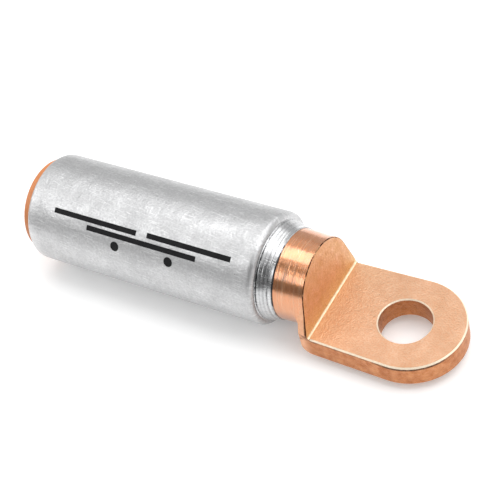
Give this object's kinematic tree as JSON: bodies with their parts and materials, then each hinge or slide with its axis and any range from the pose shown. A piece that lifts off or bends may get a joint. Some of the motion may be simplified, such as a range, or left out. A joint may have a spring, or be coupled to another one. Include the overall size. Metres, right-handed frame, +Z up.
{
  "type": "bimetallic cable lug",
  "caption": "Crimp cable lug with a round aluminium barrel, blind conductor bore and pull-out end plug, friction-welded to a forged copper palm with a round end and bolt hole.",
  "frame": {"origin": "centre of the palm's bolt hole on the contact face, the palm's underside", "axes": "+X along the barrel's axis towards the palm's round end, +Z up out of the bolt hole, from the contact face to the washer face; the barrel's axis is 11.8 mm above the contact face"},
  "size_m": [0.118, 0.0284, 0.0284],
  "materials": {
    "aluminium": "satin",
    "copper": "satin",
    "compound": "satin",
    "plug_plastic": "satin"
  },
  "bodies": {
    "lug": {"barrel": "aluminium", "palm": "copper", "joint_compound": "compound"},
    "plug": {"end_plug": "plug_plastic"}
  },
  "joints": [
    {"name": "plug_pull", "type": "slide", "parent": "lug", "child": "plug", "axis": [-1, 0, 0], "range_m": [0, 0.09]}
  ]
}
